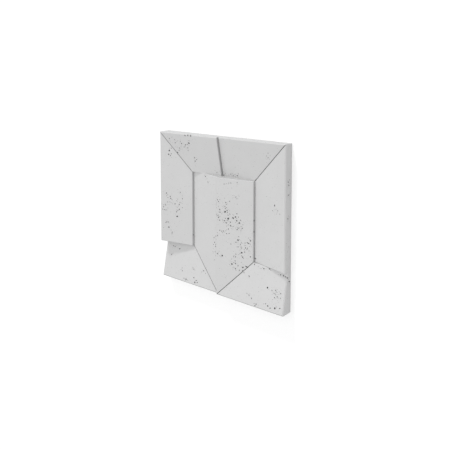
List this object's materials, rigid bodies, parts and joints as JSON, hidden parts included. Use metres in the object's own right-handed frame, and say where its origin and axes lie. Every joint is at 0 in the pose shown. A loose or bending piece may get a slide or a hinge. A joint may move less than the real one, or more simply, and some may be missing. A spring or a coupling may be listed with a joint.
{
  "type": "relief wall panel tile",
  "caption": "Square cast concrete wall panel whose front is a fold pattern of sloping facets on stepped levels; flat back.",
  "frame": {"origin": "centre of the flat back face", "axes": "+X towards the panel's right edge and +Y towards its top edge as it is read on a wall, +Z out of the relief, away from the wall"},
  "size_m": [0.6, 0.6, 0.0498],
  "materials": {
    "concrete": "smooth fair-faced cast concrete, pale grey, with air-bubble pits"
  },
  "bodies": {
    "root": {"relief_panel": "concrete"}
  },
  "joints": []
}
